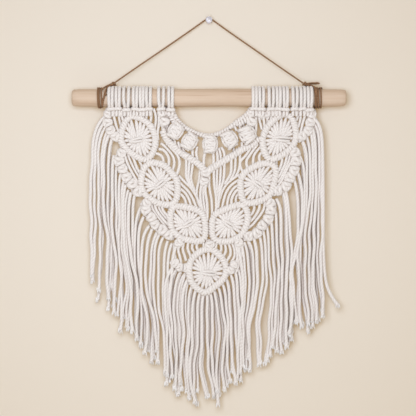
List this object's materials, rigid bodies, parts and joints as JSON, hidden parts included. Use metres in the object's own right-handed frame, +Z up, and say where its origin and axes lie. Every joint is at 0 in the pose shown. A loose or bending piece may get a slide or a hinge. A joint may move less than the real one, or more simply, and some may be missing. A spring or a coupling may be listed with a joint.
{
  "type": "macrame wall hanging on a wooden rod",
  "caption": "Cotton macrame hanging with knotted leaves, berry knots and a long fringe, tied along a round wooden rod and hung by jute twine from a clear push pin.",
  "frame": {"origin": "middle of the push pin's flat back, on the wall's surface", "axes": "+Z up, +Y into the wall that the hanging is pinned to, so it faces -Y; +X to the right as it is looked at"},
  "size_m": [0.365, 0.0322, 0.5138],
  "materials": {
    "cotton": "soft natural off-white cotton cord, matte",
    "birch": "bare sanded wood with long grain, matte",
    "jute": "brown twisted jute, fuzzy and matte",
    "clear_plastic": "clear glossy moulded plastic"
  },
  "bodies": {
    "root": {"push_pin": "clear_plastic", "hanger_twine": "jute", "twine_wrap_left": "jute", "twine_wrap_right": "jute", "rod": "birch", "macrame": "cotton", "fringe_left": "cotton", "fringe_right": "cotton", "fringe_bottom": "cotton"}
  },
  "joints": []
}
